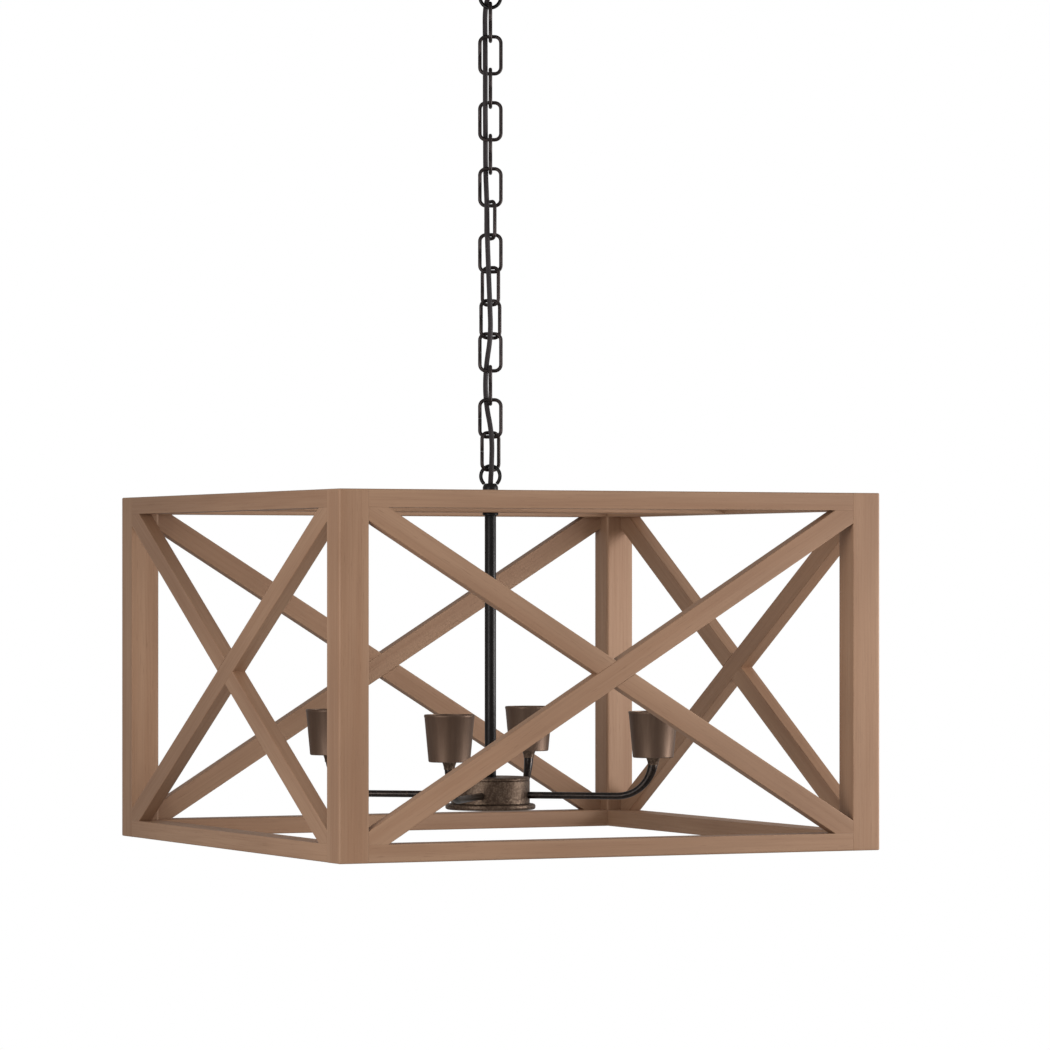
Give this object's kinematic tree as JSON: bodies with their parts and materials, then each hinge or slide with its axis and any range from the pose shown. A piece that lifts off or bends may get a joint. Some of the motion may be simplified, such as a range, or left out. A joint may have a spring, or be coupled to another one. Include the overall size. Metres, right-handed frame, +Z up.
{
  "type": "wooden cage pendant chandelier",
  "caption": "Open wooden box cage with crossed braces round a metal hub, arms and lamp cups, hung on a chain from a ceiling canopy.",
  "frame": {"origin": "centre of the ceiling plane, between the strap's two screw slots", "axes": "+Z up into the ceiling, +X along the crossbar and the strap, +Y along the cage's other side"},
  "size_m": [0.5, 0.5, 0.7869],
  "materials": {
    "stained_wood": "satin grey-brown stain",
    "black_metal": "satin black",
    "dark_bronze": "dark bronze, fine cast texture",
    "lampholder_body": "black moulded",
    "shell_metal": "plain",
    "canopy_metal": "satin black",
    "zinc_plate": "zinc plated",
    "chain_metal": "satin black",
    "cord_cover": "dark braided cover"
  },
  "bodies": {
    "canopy": {"canopy": "canopy_metal", "canopy_collar": "canopy_metal", "canopy_nut": "zinc_plate", "canopy_loop": "canopy_metal", "ceiling_strap": "zinc_plate"},
    "link_top": {"chain_link_last": "chain_metal"},
    "chain_upper": {"chain_upper_run": "chain_metal"},
    "chain_lower": {"chain_lower_run": "chain_metal", "cord": "cord_cover"},
    "link_bottom": {"chain_link_first": "chain_metal"},
    "lamp": {"corner_post_back_right": "stained_wood", "corner_post_back_left": "stained_wood", "corner_post_front_left": "stained_wood", "corner_post_front_right": "stained_wood", "bottom_rail_front": "stained_wood", "top_rail_front": "stained_wood", "brace_front_rising": "stained_wood", "brace_front_falling": "stained_wood", "bottom_rail_right": "stained_wood", "top_rail_right": "stained_wood", "brace_right_rising": "stained_wood", "brace_right_falling": "stained_wood", "bottom_rail_back": "stained_wood", "top_rail_back": "stained_wood", "brace_back_rising": "stained_wood", "brace_back_falling": "stained_wood", "bottom_rail_left": "stained_wood", "top_rail_left": "stained_wood", "brace_left_rising": "stained_wood", "brace_left_falling": "stained_wood", "crossbar": "stained_wood", "stem": "black_metal", "stem_collar": "black_metal", "arm_1": "black_metal", "arm_2": "black_metal", "arm_3": "black_metal", "arm_4": "black_metal", "arm_ferrules": "black_metal", "stem_loop": "black_metal", "hub_nut": "black_metal", "hub_lock_nut": "black_metal", "arm_nuts": "black_metal", "hub_body": "dark_bronze", "hub_base": "dark_bronze", "cup_1": "dark_bronze", "cup_2": "dark_bronze", "cup_3": "dark_bronze", "cup_4": "dark_bronze", "lampholder_1": "lampholder_body", "lampholder_2": "lampholder_body", "lampholder_3": "lampholder_body", "lampholder_4": "lampholder_body", "screw_shells": "shell_metal"}
  },
  "joints": [
    {"name": "top_link_swing", "type": "hinge", "parent": "canopy", "child": "link_top", "pos_m": [0, 0, -0.0559], "axis": [0.9048, -0.4258, 0], "range_deg": [-20, 20], "deforming": ["cord"]},
    {"name": "chain_swing", "type": "hinge", "parent": "link_top", "child": "chain_upper", "pos_m": [0, 0, -0.0848], "axis": [0.4258, 0.9048, 0], "range_deg": [-20, 20]},
    {"name": "chain_twist", "type": "hinge", "parent": "chain_upper", "child": "chain_lower", "pos_m": [0, 0, -0.25645], "axis": [0, 0, 1], "range_deg": [-20, 20]},
    {"name": "bottom_link_swing", "type": "hinge", "parent": "chain_lower", "child": "link_bottom", "pos_m": [0, 0, -0.4316], "axis": [0.9048, -0.4258, 0], "range_deg": [-20, 20]},
    {"name": "lamp_swing", "type": "hinge", "parent": "link_bottom", "child": "lamp", "pos_m": [0, 0, -0.4605], "axis": [0.9751, 0.2215, 0], "range_deg": [-20, 20]}
  ]
}
